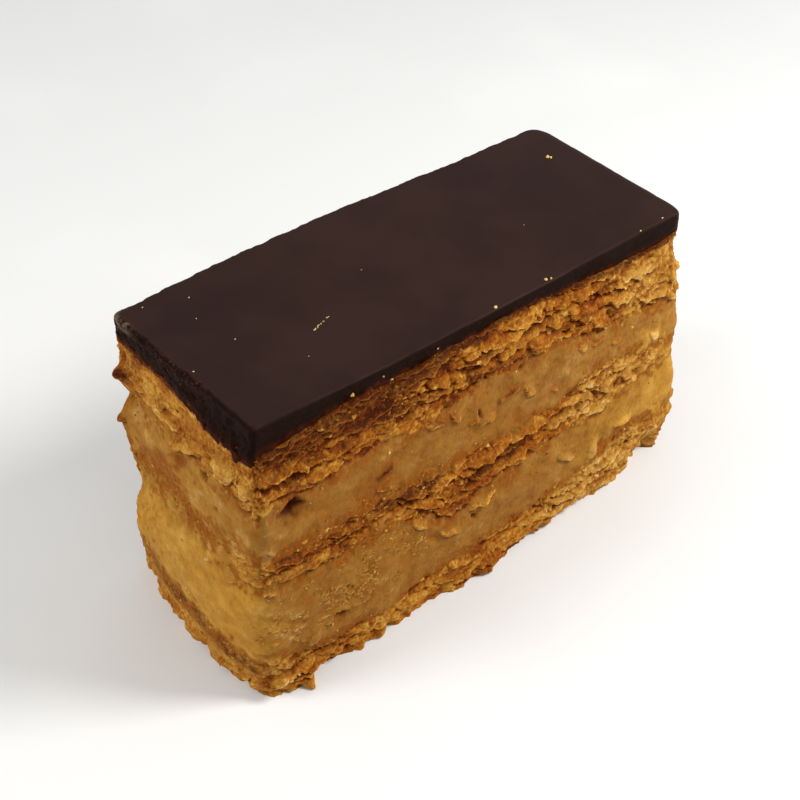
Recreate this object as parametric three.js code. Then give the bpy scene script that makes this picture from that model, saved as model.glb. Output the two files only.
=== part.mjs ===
// Mille feuille slice: three layers of puff pastry with two layers of custard cream between
// them, under a slab of dark icing. Millimetres, +Z up. The slice lies along X and rests on
// z = 0, with its origin under the middle of its box.

import * as THREE from 'three';
import { mergeVertices } from 'three/addons/utils/BufferGeometryUtils.js';

// Icing slab, which is the cleanest cut of all the layers
const LENGTH = 90;
const WIDTH = 35.3;
const HEIGHT = 55.5;

// The slice widens towards its base: how far each side stands out at z = 0
const FLARE = { left: 2.9, right: 3.3, front: 2.0, back: 0.7 };

const BACK_BOW = 1.0;       // how far the back bows out halfway along the slice
const RIPPLE = 0.3;         // height of the slow ripples of the layers' faces
const LAYER_GAP = 0.3;      // clear space between two layers
const CORNER_DRAW = 0.5;    // how far a vertical corner is drawn in, along X and along Y
const EDGE_FADE = 6;        // power that fades a side's shape out towards the middle

// Mesh steps along the length and across the width, the same in each layer
const STEPS_X = 26;
const STEPS_Y = 10;

// Places along the length, as parts of LENGTH, where the layers' heights are given
const STATIONS = [-1 / 2, -1 / 4, 0, 1 / 4, 1 / 2].map((part) => part * LENGTH);

// Layers from the plate up. front and back: height of the upper face at the stations, along the
// front and the back of the slice; steps: mesh steps in height; bulge: how far the sides swell;
// leaf: how far every second step of a side stands out; ragged: unevenness of the sides;
// shoulder: how far the upper edge is rounded down.
const LAYERS = [
  {
    name: 'bottom_pastry', front: [8.8, 5.6, 7.4, 10.0, 10.6], back: [8.6, 7.6, 7.0, 8.2, 9.4],
    steps: 3, bulge: 0.1, leaf: 0.5, ragged: 0.8, shoulder: 0, colour: 0xb0722a, roughness: 0.85,
  },
  {
    name: 'lower_cream', front: [24.0, 20.2, 18.4, 17.6, 20.0], back: [25.0, 19.6, 18.4, 18.8, 20.0],
    steps: 3, bulge: 0.9, leaf: 0, ragged: 0.35, shoulder: 0, colour: 0xb98a3e, roughness: 0.45,
  },
  {
    name: 'middle_pastry', front: [29.6, 31.0, 26.6, 28.4, 27.8], back: [31.6, 28.0, 26.5, 27.0, 27.5],
    steps: 2, bulge: -0.3, leaf: 0.4, ragged: 0.6, shoulder: 0, colour: 0x9c6226, roughness: 0.85,
  },
  {
    name: 'upper_cream', front: [38.6, 39.4, 40.2, 37.6, 33.8], back: [40.2, 39.0, 38.6, 37.8, 36.0],
    steps: 3, bulge: 0.5, leaf: 0, ragged: 0.35, shoulder: 0, colour: 0xb48c4c, roughness: 0.5,
  },
  {
    name: 'top_pastry', front: [49.4, 50.9, 50.8, 49.8, 48.4], back: [51.2, 51.6, 51.4, 50.4, 49.6],
    steps: 4, bulge: 0.1, leaf: 0.5, ragged: 0.8, shoulder: 0, colour: 0xb87a2e, roughness: 0.85,
  },
  {
    name: 'icing', front: [HEIGHT, 54.1, 53.5, 53.3, 53.2], back: [55.3, 55.2, 54.8, 54.2, 53.4],
    steps: 2, bulge: 0, leaf: 0, ragged: 0.12, shoulder: 0.5, colour: 0x33241f, roughness: 0.4,
  },
];

// Sum of slow sine waves along a side, between -1 and 1, different for each seed
function wander(along, z, seed) {
  const long = Math.sin(0.31 * along + 1.7 * seed);
  const middle = Math.sin(0.57 * along + 0.23 * z + 2.9 * seed);
  const short = Math.sin(0.83 * along - 0.41 * z + 4.3 * seed);
  return 0.5 * long + 0.3 * middle + 0.2 * short;
}

// Height of the upper face of the layer at this index; index -1 is the flat underside
function upperFace(index) {
  if (index < 0) {
    return () => 0;
  }
  const front = new THREE.CubicInterpolant(STATIONS, LAYERS[index].front, 1);
  const back = new THREE.CubicInterpolant(STATIONS, LAYERS[index].back, 1);
  return (x, y) => {
    const across = THREE.MathUtils.clamp(y / WIDTH + 0.5, 0, 1);
    const height = THREE.MathUtils.lerp(front.evaluate(x)[0], back.evaluate(x)[0], across);
    return height + RIPPLE * Math.sin(0.19 * x + 2.1 * index) * Math.cos(0.21 * y + index);
  };
}

// How far a side stands out from the icing's cut face. along runs on the side, rise is the
// height within the layer from 0 to 1.
function standOut(layer, side, along, rise, z, seed) {
  const bow = side === 'back' ? BACK_BOW * Math.cos((Math.PI * along) / LENGTH) : 0;
  const flare = bow + FLARE[side] * (1 - z / HEIGHT);
  const swell = layer.bulge * 4 * rise * (1 - rise);
  const leaf = layer.leaf * Math.cos(Math.PI * rise * layer.steps);
  return flare + swell + leaf + layer.ragged * wander(along, z, seed);
}

// A box of the layer's mesh steps, with each vertex moved to its place in the slice
function layerGeometry(layer, index) {
  let box = new THREE.BoxGeometry(2, 2, 1, STEPS_X, STEPS_Y, layer.steps);
  box.deleteAttribute('normal');
  box.deleteAttribute('uv');
  box = mergeVertices(box);

  const lower = upperFace(index - 1);
  const upper = upperFace(index);
  const lowerGap = index > 0 ? LAYER_GAP / 2 : 0;
  const upperGap = index < LAYERS.length - 1 ? LAYER_GAP / 2 : 0;
  const place = box.attributes.position;

  for (let i = 0; i < place.count; i += 1) {
    const u = place.getX(i);
    const v = place.getY(i);
    const rise = place.getZ(i) + 0.5;
    const fadeX = Math.abs(u) ** EDGE_FADE;
    const fadeY = Math.abs(v) ** EDGE_FADE;
    const roughZ = THREE.MathUtils.lerp(lower(0, 0), upper(0, 0), rise);
    const alongX = (u * LENGTH) / 2;
    const alongY = (v * WIDTH) / 2;
    const sideX = u < 0 ? 'left' : 'right';
    const sideY = v < 0 ? 'front' : 'back';
    const outX = standOut(layer, sideX, alongY, rise, roughZ, index + Math.sign(u));
    const outY = standOut(layer, sideY, alongX, rise, roughZ, index + Math.sign(v));
    const corner = CORNER_DRAW * fadeX * fadeY;
    const x = alongX + Math.sign(u) * (outX * fadeX - corner);
    const y = alongY + Math.sign(v) * (outY * fadeY - corner);
    const low = lower(x, y) + lowerGap;
    const high = upper(x, y) - upperGap;
    const shoulder = layer.shoulder * rise * Math.max(fadeX, fadeY);
    place.setXYZ(i, x, y, THREE.MathUtils.lerp(low, high, rise) - shoulder);
  }
  box.computeVertexNormals();
  return box;
}

function layerMesh(layer, index) {
  const material = new THREE.MeshStandardMaterial({
    color: layer.colour,
    roughness: layer.roughness,
    metalness: 0,
  });
  const mesh = new THREE.Mesh(layerGeometry(layer, index), material);
  mesh.name = layer.name;
  return mesh;
}

const slice = new THREE.Group();
LAYERS.forEach((layer, index) => slice.add(layerMesh(layer, index)));

// The ragged sides differ, so the middle of the box is moved onto the origin
const middle = new THREE.Box3().setFromObject(slice).getCenter(new THREE.Vector3());
slice.position.set(-middle.x, -middle.y, 0);
slice.updateMatrixWorld(true);

export default slice;
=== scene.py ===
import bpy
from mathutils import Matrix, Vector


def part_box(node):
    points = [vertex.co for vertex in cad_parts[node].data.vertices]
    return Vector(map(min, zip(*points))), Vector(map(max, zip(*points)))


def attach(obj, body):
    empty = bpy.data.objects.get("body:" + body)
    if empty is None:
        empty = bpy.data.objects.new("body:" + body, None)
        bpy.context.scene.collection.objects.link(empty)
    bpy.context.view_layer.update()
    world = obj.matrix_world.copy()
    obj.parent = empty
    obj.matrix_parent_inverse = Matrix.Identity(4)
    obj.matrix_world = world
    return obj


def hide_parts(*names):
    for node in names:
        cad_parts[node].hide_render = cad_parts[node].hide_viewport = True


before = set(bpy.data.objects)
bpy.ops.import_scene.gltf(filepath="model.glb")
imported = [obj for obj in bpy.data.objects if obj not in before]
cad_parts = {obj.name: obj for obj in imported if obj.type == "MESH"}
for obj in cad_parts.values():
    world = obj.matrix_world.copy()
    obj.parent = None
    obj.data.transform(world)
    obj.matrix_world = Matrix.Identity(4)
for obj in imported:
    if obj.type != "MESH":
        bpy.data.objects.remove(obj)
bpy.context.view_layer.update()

import math
import random
from collections import defaultdict, namedtuple

import bmesh
import bpy
from mathutils import Matrix, Vector, noise
from mathutils.bvhtree import BVHTree

# A mille feuille slice: three layers of puff pastry with custard cream between them, under a
# slab of dark icing. Lengths here are millimetres, measured from the middle of the icing slab,
# with z from the table; at() turns them into the frame's metres. The long cut face with y < 0
# is called the front, and the end with x < 0 the left end. On the front and the back a place
# is given by its run along x, and on the two ends by its run along y.

MM = 0.001
LENGTH = 90.0
WIDTH = 35.3
HEIGHT = 55.5
HALF_X = LENGTH / 2
HALF_Y = WIDTH / 2
SLAB_MIDDLE = sum(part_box("icing"), Vector()) / 2

SIDES = ("left", "right", "front", "back")
HALF = {"left": HALF_Y, "right": HALF_Y, "front": HALF_X, "back": HALF_X}
INWARDS = {"left": (1, 0, 0), "right": (-1, 0, 0), "front": (0, 1, 0), "back": (0, -1, 0)}

# How far each side stands out at the table from the icing's cut face, at five places along it
FLARE = {
    "left": (3.2, 4.0, 3.4, 2.6, 0.8),
    "right": (3.6, 3.9, 3.9, 3.9, 3.4),
    "front": (2.9, 2.8, 3.1, 2.6, 1.6),
    "back": (0.7, 0.7, 0.7, 0.7, 0.7),
}
BACK_BOW = (0.6, 1.1, 0.9, -0.1, 0.0)     # how far the back bows out, at five places along it

# Height of each layer's upper face along the front, at ten evenly spaced places for the layers
# under the icing and at five for the icing, and along the back at five; pitch: from one leaf
# to the next in pastry
Layer = namedtuple("Layer", "name front back pitch seed")
LAYERS = [
    Layer("bottom_pastry", (8.6, 6.2, 5.0, 6.4, 7.2, 7.5, 8.0, 9.6, 11.0, 10.6),
          (8.6, 7.6, 7.0, 8.2, 9.4), 1.7, 3.1),
    Layer("lower_cream", (23.6, 22.6, 22.0, 20.0, 17.6, 19.4, 20.4, 20.0, 21.4, 21.0),
          (25.0, 19.6, 18.4, 18.8, 20.0), 0, 5.7),
    Layer("middle_pastry", (30.0, 30.6, 30.4, 28.4, 27.8, 27.0, 27.4, 29.6, 28.8, 27.0),
          (31.6, 28.0, 26.5, 27.0, 27.5), 1.9, 8.3),
    Layer("upper_cream", (39.2, 39.6, 40.4, 39.0, 39.8, 41.2, 40.4, 38.0, 36.4, 34.2),
          (40.2, 39.0, 38.6, 37.8, 36.0), 0, 11.9),
    Layer("top_pastry", (49.6, 50.4, 51.0, 50.6, 50.8, 50.8, 50.2, 49.3, 48.6, 49.0),
          (51.2, 51.6, 51.4, 50.4, 49.6), 1.9, 14.2),
    Layer("icing", (55.5, 54.1, 53.5, 53.3, 53.2), (55.3, 55.2, 54.8, 54.2, 53.4), 0, 17.7),
]
BOTTOM, LOWER, MIDDLE, UPPER, TOP, ICING = range(len(LAYERS))
PASTRY = (BOTTOM, MIDDLE, TOP)

PASTRY_STEP = 0.21      # mesh steps round the slice and up its sides
CREAM_STEP = 0.25
ICING_STEP = 0.4
ICING_ROWS = 12         # up the icing's side
ICING_RINGS = 26        # rings of mesh on the icing's two faces
FACE_RINGS = 6          # and on the faces of the other layers, which are hidden
OVERLAP = 0.8           # how far cream and pastry reach into each other at the sides
CORNERS = (2.2, 2.8, 0.9, 0.9)      # radius of each upright corner, anticlockwise from front right
CORNER_STEPS = 16
USUAL_REACH = 3.0       # how far the sides stand out from the icing's cut face, about

# What each vertex carries for its finish, each from 0 to 1: painted shade in a crack, hole or
# hollow and under a lip, a dry broken edge with a painted highlight on it, a brown or chocolate
# stain, a cover of cream, its own tint, and paleness
TONES = ("deep", "rim", "stain", "cream", "tint", "pale")
PAINTED_SHADE, RIM_HIGHLIGHT, STAIN, CREAM, TINT, PALE = range(len(TONES))

# A spot on a side: its place, its reach along the side and in height, its slant in degrees, how
# far it pushes the surface out, or in if negative, and what it adds to the tones
Spot = namedtuple("Spot", "side run z reach rise slant push tones")


def spots(side, *rows):
    """Spots on one side, each row with all that a Spot has but its side."""
    return [Spot(side, *row) for row in rows]


def stains(side, *rows):
    """Spots that only stain: run, z, reach, rise, slant, and how brown, or clean if negative."""
    return [Spot(side, *place, 0, {STAIN: brown}) for *place, brown in rows]


def bumps(side, *rows):
    """Spots that only push the side out or in: run, z, reach, rise, and how far."""
    return [Spot(side, *place, 0, push, {}) for *place, push in rows]


SPOTS = []

# Holes, pits and gaps in the front, with painted shade in them; the long low spots under the middle
# cracks, near heights 23 to 26, also paint the brown shade below the crack edges with their stain
SPOTS += spots("front",
    (-39.6, 37.5, 1.7, 1, 25, -2.2, {PAINTED_SHADE: 2.4, STAIN: 0.6}),
    (-33.2, 10.9, 0.6, 0.4, -30, -0.6, {PAINTED_SHADE: 0.7, STAIN: 1}),
    (-31.9, 10.4, 0.9, 0.55, -20, -0.9, {PAINTED_SHADE: 0.9, STAIN: 1}),
    (-3.8, 14.4, 0.35, 0.5, 40, -1, {PAINTED_SHADE: 1.2}), (-2.1, 35.4, 0.25, 0.7, 0, -0.8, {PAINTED_SHADE: 1.2}),
    (7.2, 39.6, 0.5, 0.35, 20, -0.9, {PAINTED_SHADE: 1.1}),
    (-22.5, 48.6, 3.6, 2.4, 0, -0.4, {STAIN: 1.3, PAINTED_SHADE: 0.35}),
    (7, 23.8, 8, 0.9, 6, -0.5, {STAIN: 0.8, PAINTED_SHADE: 0.3}),
    (-2, 23, 4, 0.8, -6, -0.3, {STAIN: 0.6, PAINTED_SHADE: 0.2}),
    (-30, 26, 5, 1, -6, -0.2, {STAIN: 0.6, PAINTED_SHADE: 0.2}),
    (25.3, 24.4, 0.5, 1.1, 20, -0.8, {PAINTED_SHADE: 0.9}),
    (30.9, 23.8, 0.5, 1.2, -20, -0.8, {PAINTED_SHADE: 0.9}), (20.8, 24, 0.6, 0.8, 0, -0.6, {PAINTED_SHADE: 0.8}),
    (36, 23.6, 0.6, 0.9, 10, -0.6, {PAINTED_SHADE: 0.7}), (28.2, 22.6, 2.6, 0.5, 8, -0.5, {PAINTED_SHADE: 0.5}),
)

# Brown stains on the front; the long one at run 3 and height 23.2, under the middle crack, is
# painted shade below the crack's edge
SPOTS += stains("front",
    (-40, 48.6, 5.5, 0.9, 0, 0.7), (-13, 48.5, 6, 1.3, 0, 0.6), (-18, 44.5, 7, 1.6, -8, 0.35),
    (-32, 48.4, 12, 2, 2, 1.3), (-22, 46.4, 5, 2, -6, 0.6), (-10, 43.8, 9, 1.8, -6, 0.4),
    (-38, 42.6, 3.5, 1.1, 0, 0.9), (-28.5, 42.8, 3, 1.1, 0, 0.7), (-26, 46, 6, 1.4, 0, 0.4),
    (13, 45.8, 5, 1.1, -8, 0.5), (5, 42, 9, 0.9, -4, 0.6), (23, 43, 4, 0.7, -18, 0.6),
    (30, 39.8, 5, 0.8, -14, 0.45), (-38, 27.6, 8, 1.3, 0, 0.15), (-20, 27.4, 10, 2, -8, 0.75),
    (3, 23.2, 11, 1.2, 5, 0.35), (20, 24.2, 5, 1.2, 5, 0.4), (30, 11, 12, 1, 3, 0.5),
    (-1, 30.5, 3, 1.5, 0, 0.35), (-40, 29.4, 6.5, 1.8, 0, 0.45), (-27, 29.6, 5, 1.8, -6, 0.5),
    (-13, 29, 4, 1.5, -6, 0.5),
)

# Patches of another tint on the front; the two at runs -46 and -45.5 are painted light, lifting the
# near left corner, which faces away from both lamps
SPOTS += spots("front",
    (-36, 6.6, 10, 1.7, 0, 0, {STAIN: 0.5, CREAM: -0.3}), (-46, 34, 3, 4, 0, 0, {TINT: 0.7}),
    (-45.5, 16, 3.5, 6, 0, 0, {TINT: 0.5, PALE: 0.4}), (28, 25, 5.5, 1.6, 0, 0, {PALE: 0.5}),
    (-25, 33.6, 8, 2.6, 10, 0, {STAIN: 0.35, TINT: -0.15}),
    (8.6, 30.4, 2.6, 2.2, 0, 0, {TINT: 0.3}),
    (-30, 45, 14, 4.5, 0, 0, {TINT: -0.15}),
)

# Lumps, smears and marks of the knife on the front
SPOTS += spots("front",
    (-30.8, 15.7, 0.5, 0.4, 0, -0.4, {STAIN: 0.9}), (-33, 47.6, 6, 1.5, 5, -0.3, {STAIN: 0.8}),
    (-22, 33.2, 2.6, 1.7, 20, 0.2, {STAIN: 1}),
    (-9.5, 37.9, 3.4, 1.1, -12, 0.5, {STAIN: 0.9, TINT: 0.3}),
    (-1.4, 34.2, 2, 1.5, -10, 0.8, {STAIN: 0.7, TINT: 0.5}),
    (4.8, 35.9, 2.1, 0.7, 10, 0.3, {STAIN: 0.7}),
    (9.2, 34.3, 1.7, 1.1, -50, 0.5, {STAIN: 0.6, TINT: 0.4}),
    (6.8, 30.4, 1.2, 2.4, 0, -0.2, {STAIN: 0.9}),
    (-17.4, 37.6, 0.8, 1, 0, 0.1, {STAIN: 0.6}),
    (20.5, 36.6, 3.2, 1.2, -15, 0.3, {STAIN: 0.4, TINT: 0.4}),
    (38.6, 29.8, 2.6, 1.6, -25, 0.5, {PALE: 0.9, TINT: 0.5}),
    (39, 36.7, 3, 0.7, -14, -0.6, {STAIN: 0.9}),
    (-15.4, 19.8, 1.3, 1.3, 0, 0.6, {TINT: 0.4, STAIN: 0.2}),
    (-12.6, 14.8, 2.2, 0.7, -40, -0.4, {STAIN: 1}),
    (-9, 15.2, 2.4, 1.6, -25, 0.5, {STAIN: 0.3, TINT: 0.3}),
    (-5, 18.2, 3.6, 1.1, 5, -0.4, {STAIN: 0.5}),
    (-2, 16.3, 2.2, 0.7, 8, 0.6, {TINT: 0.5}),
    (7, 20.6, 2.8, 1.1, -12, 0.5, {TINT: 0.4, STAIN: 0.2}),
    (-25, 23.5, 4, 1.2, 0, 0.4, {STAIN: 0.4}),
    (32.4, 14.9, 2.3, 0.8, -4, 0.6, {PALE: 0.6, TINT: 0.5}),
    (31.6, 12.6, 3.2, 1.2, 8, -0.7, {STAIN: 0.9}), (27.4, 12.8, 1, 1.9, 0, -0.6, {STAIN: 0.4}),
    (24.9, 12.6, 1.2, 2.2, 10, 0.4, {TINT: 0.3}), (18, 14.6, 2, 0.5, -45, 0.3, {TINT: 0.3}),
    (-38.5, 9.4, 1.6, 1.3, 30, 0.5, {TINT: 0.2}), (-25, 6.8, 2.2, 2.2, 30, 0.4, {CREAM: 0.6}),
    (-40, 0.6, 1, 1.2, 0, 1.3, {TINT: 0.3}), (-23, 37.3, 5, 1.2, 10, 0.1, {TINT: 0.25}),
    (17, 33.6, 4, 1.4, 5, 0.2, {TINT: 0.5}),
)

# Bare dents and swellings of the front
SPOTS += bumps("front",
    (41.5, 0.4, 4.2, 4, -4.4), (12.6, 0, 1.4, 1.6, -1.4), (22, 0, 9, 1.6, -1.3),
    (-45.4, 1, 1.2, 1.6, -1.1), (-36, 0, 1.8, 1.8, -1.5), (-22.4, 0, 0.9, 1.4, -1.2),
    (-1.5, 0.5, 4.5, 1.6, 1.2), (-32.5, 0, 2.2, 2, -1.4), (43, 46.8, 1.8, 1.6, -1),
)

# Holes, pits and gaps in the left end, with painted shade in them
SPOTS += spots("left",
    (-5.4, 38.7, 1.1, 0.5, -30, -0.7, {PAINTED_SHADE: 0.4, STAIN: 1}),
    (-9, 42.2, 1.2, 0.6, 10, -0.8, {PAINTED_SHADE: 0.5, STAIN: 0.8}),
    (-7.3, 43.5, 0.7, 0.4, -30, -0.6, {PAINTED_SHADE: 0.7}), (-3, 41.3, 1.8, 0.5, -25, -0.6, {PAINTED_SHADE: 0.5}),
    (1.5, 37.4, 1.9, 1.3, -20, -0.5, {PAINTED_SHADE: 0.25, STAIN: 1.3}),
    (-8.8, 34.6, 0.6, 0.45, -20, -0.4, {PAINTED_SHADE: 0.3, STAIN: 0.9}),
    (3, 26.4, 0.4, 0.5, 20, -0.5, {PAINTED_SHADE: 0.6}),
    (-7.2, 22.5, 0.7, 0.5, 0, -0.4, {PAINTED_SHADE: 0.3, STAIN: 0.9}),
)

# Brown stains on the left end
SPOTS += stains("left",
    (14.5, 46.5, 3, 3.5, 0, 0.6), (-14, 36.6, 2.4, 0.8, 10, 0.5), (8.6, 32.6, 4, 1.6, 20, 0.6),
    (0, 23.8, 11, 2.6, 2, -0.55), (5.5, 32.6, 6, 2.6, 8, 0.4),
)

# Patches of another tint on the left end
SPOTS += spots("left",
    (-2, 29, 3, 1.2, 0, 0, {TINT: -0.3}), (-12.8, 29.8, 2.2, 1.4, 20, 0, {TINT: 0.7}),
    (-8.6, 36.4, 2, 1.2, -30, 0, {TINT: 0.7}), (12.6, 39, 2.6, 1.6, -20, 0, {TINT: 0.7}),
    (-8.4, 27, 1.6, 0.8, 0, 0, {TINT: 0.6}), (-6, 24.6, 1.4, 0.7, 0, 0, {TINT: 0.6}),
    (1, 21, 3, 1.6, 0, 0, {TINT: 0.4}),
)

# Lumps, smears and marks of the knife on the left end
SPOTS += spots("left",
    (18, 44.6, 2.6, 1.8, 0, 1.2, {STAIN: 0.4}), (18, 35.2, 2.6, 2.4, 0, 1.1, {STAIN: 0.3}),
    (5.8, 34.8, 1.2, 1.3, 20, -0.3, {STAIN: 1.1}), (-5.2, 24.4, 1.4, 1.2, -50, -0.5, {STAIN: 1.3}),
    (5.5, 30, 5, 2.2, -4, -0.3, {STAIN: 0.35}), (-14.5, 39.4, 3, 1.2, 0, -0.3, {STAIN: 0.6}),
    # The spot at run -16 and height 32 is painted light: it lifts the cream by the near corner,
    # which faces away from both lamps
    (-7, 27.6, 7, 0.9, 4, -0.2, {STAIN: 0.45}), (-16, 32, 2.2, 3.2, 0, 0.3, {TINT: 0.6}),
    (-4, 33.8, 3, 2.2, -20, 0.2, {TINT: 0.5}), (10, 37, 3, 2, 0, 0.2, {TINT: 0.5}),
    (4, 17.6, 2.5, 0.8, 0, 0.1, {TINT: 0.5}),
    (-10.5, 43.9, 2.4, 1.4, -10, 0.7, {TINT: 0.5, PALE: 0.3}),
    (-16, 42.6, 1, 1.6, 30, 0.6, {TINT: 0.5, PALE: 0.2}),
    (7.6, 46.8, 2.8, 1, 15, 0.4, {TINT: 0.4, PALE: 0.3}), (-1, 41.6, 4, 1, -18, 0.5, {TINT: 0.3}),
    (-2, 23.2, 3, 1.3, -10, 0.3, {TINT: 0.3, CREAM: 0.5}),
    (-1, 6.4, 16, 1.8, 3, 0.2, {STAIN: 0.6, CREAM: 0.6}),
)

# Bare dents and swellings of the left end
SPOTS += bumps("left",
    (-14.6, 0.6, 1.3, 1.5, -1.1), (17.6, 47.8, 2, 1.6, -1.3), (17.6, 39.8, 4, 1.6, -2),
    (18, 20.6, 7, 4.6, -2), (17.6, 2, 5, 5, -1.2),
)

# Bare dents and swellings of the right end
SPOTS += bumps("right",
    (-17, 0, 4, 4, -3), (-17, 46, 4, 2.6, -3.2), (-15, 40.6, 4, 1.5, 0.9), (-15, 36.3, 4, 1.3, 0.9),
    (-15, 29, 5, 5, 1.3), (-15, 9.5, 4, 3, 1.1),
)

# Bare dents and swellings of the back
SPOTS += bumps("back",
    (-46, 39.8, 3, 1.6, -1.2), (-46, 20.6, 4.5, 4.6, -2),
)

# A crack under the ragged edge of a leaf: how deep it goes in, how far its shadow reaches down,
# and its line of (run, z) places
Crack = namedtuple("Crack", "side depth fall line")


def cracks(side, *rows):
    return [Crack(side, depth, fall, line) for depth, fall, *line in rows]


CRACKS = []
CRACKS += cracks("front",
    (1.2, 1.3, (-47, 27.6), (-43, 27.4), (-38, 26.6), (-33, 26.6), (-30, 26.9)),
    (1, 0.9, (-33, 25.6), (-28, 25.2), (-24, 25.7), (-20, 25.9)),
    (1.5, 1.4, (-20, 26.6), (-17, 25.6), (-13, 24.9), (-9, 25.6), (-6, 24)),
    (1.7, 1.7, (-6, 23.8), (-1, 24.2), (4, 25.2), (8, 24.8), (14, 25.6), (18, 25.5)),
    (0.9, 1, (-12, 22.8), (-8, 21.2), (-4, 22.4)),
    (0.6, 0.7, (-39, 23.4), (-34, 23.2), (-30, 23.4)),
    (0.8, 0.9, (20, 26.9), (25, 26.6), (29, 26.7), (33, 26)),
    (0.4, 0.6, (21, 29.6), (26, 29.5), (31, 28.9)), (1.4, 1.2, (24, 25.2), (26.5, 24.8)),
    (2, 2, (-46, 44.2), (-42, 44.2), (-38, 43.8), (-35.5, 42.8)),
    (0.6, 0.7, (-44, 41.2), (-40, 40.3)),
    (1.2, 1.1, (-32, 43.2), (-28, 42.9), (-25.5, 42.4)),
    (1.2, 1.2, (-38, 46.8), (-33, 47), (-28, 46.4)),
    (1, 0.9, (-18, 43.9), (-12, 42.9), (-6, 42.2), (1, 41.4)),
    (0.9, 0.9, (-17, 46.3), (-11, 45.2), (-5, 44.4)),
    (1.5, 1.1, (-3, 47.6), (3, 46.9), (8, 46.6), (14, 46.9), (19, 47)),
    (1.2, 1.3, (-7, 46.6), (-3, 45.8), (1, 43.9)), (2, 1.5, (16.5, 42.2), (19, 42.4), (21.5, 41.6)),
    (1.3, 1.2, (20, 45.9), (24, 45.8), (28, 44.8), (33, 43.7)),
    (0.5, 0.6, (14, 50), (20, 49.2), (26, 48.4)), (0.7, 1, (-44, 5.8), (-38, 6), (-31, 5.4)),
    (0.9, 1, (-47, 3.4), (-42, 3.8), (-39, 2.6)),
    (0.9, 1, (10, 7.6), (17, 6.4), (24, 6.8), (31, 6.2)),
    (0.9, 1.1, (13, 4.6), (20, 4.2), (27, 4), (33, 4.2)),
    (0.8, 0.8, (32, 8.4), (38, 8.8), (44, 8.6)),
)
CRACKS += cracks("left",
    (0.6, 0.6, (-14, 3.4), (-10, 3)),
)

# A plate of broken leaf, which stands out most at its ragged lower lip: half its width and
# height, its slope, how far the lip stands out, its tint, and how much it is cream
Plate = namedtuple("Plate", "side run z reach rise slope stand tint cream seed")
SHARD_STAND = 1.35      # single leaves stand out this much further than their rows say


def shard(side, run, z, reach, rise, slope, stand, tint, cream=0.0):
    return Plate(side, run, z, reach, rise, slope, SHARD_STAND * stand, tint, cream, run + z)


def shards(side, *rows):
    """Single broken leaves on one side, each row with what shard takes after the side."""
    return [shard(side, *row) for row in rows]


SHARDS = []

# Under the icing
SHARDS += shards("front",
    (2, 47.8, 7.2, 0.9, 0, 1.2, 0.85), (8.5, 48.4, 4, 0.6, -0.1, 1.1, 0.8),
    (-3.6, 49.2, 2.4, 0.6, 0.1, 0.9, 0.8), (-10.4, 46.4, 2.2, 1.3, -0.2, 0.9, 0.55),
    (-6.8, 44.4, 1.2, 1.4, -0.4, 1, 0.6), (4, 44.4, 1.7, 1, 0, 1.2, 0.9),
    (12, 43, 3.4, 1.7, -0.25, 0.9, 0.6), (14.8, 45.2, 2, 1.1, -0.25, 0.8, 0.7),
    (21.2, 44.6, 3.3, 1.9, -0.35, 1.3, 0.65), (25.6, 40.4, 2, 1.7, -0.3, 1.1, 0.65),
    (30.5, 42.4, 3, 1.3, -0.3, 0.7, 0.8), (27.3, 48.6, 0.8, 1, 0, 1.3, 0.9),
    (34.5, 45.6, 4, 1.2, -0.15, 0.6, 0.8), (39, 38.8, 4, 0.9, -0.25, 0.9, 0.7),
    (44.2, 36.2, 1.6, 0.9, -0.1, 1.4, 0.7), (44, 40.6, 1.4, 1, 0, 1, 0.8),
    (-46.4, 43.8, 1.1, 1.1, 0, 0.9, 0.8), (-41.5, 45.3, 3.6, 0.9, -0.08, 0.9, 0.5),
    (-31.5, 43.9, 4, 0.8, -0.1, 0.7, 0.5), (-34.5, 41, 2.2, 0.7, -0.2, 0.6, 0.7),
)

# Stuck to the upper cream
SHARDS += shards("front",
    (-7.2, 37.8, 1.1, 1, -0.9, 0.5, 0.85), (-11.6, 38.4, 1.8, 0.6, -0.3, 0.45, 0.75),
    (-0.4, 33.4, 1.9, 0.9, 0.1, 0.5, 0.85), (-3.4, 34.6, 0.9, 0.9, 0, 0.4, 0.6),
    (4.6, 35.8, 2.3, 0.9, 0.1, 0.35, 0.55), (9, 34.6, 1.3, 1, -0.9, 0.4, 0.9),
    (15.2, 31, 0.7, 0.7, -0.5, 0.4, 0.9), (-22, 31.2, 1.5, 0.5, -0.3, 0.4, 0.9),
    (-21.6, 34.6, 1.8, 0.6, 0.3, 0.5, 0.6), (21.2, 37.2, 1.3, 1, -0.4, 0.4, 0.7),
    (25.4, 36.2, 1.7, 0.7, 0.1, 0.4, 0.7), (30, 33.5, 1.3, 0.5, -0.2, 0.4, 0.8),
    (39.6, 30.2, 1.3, 1.1, -0.5, 0.45, 0.9), (36.8, 28.6, 1.4, 0.7, 0.4, 0.4, 0.8),
)

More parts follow.
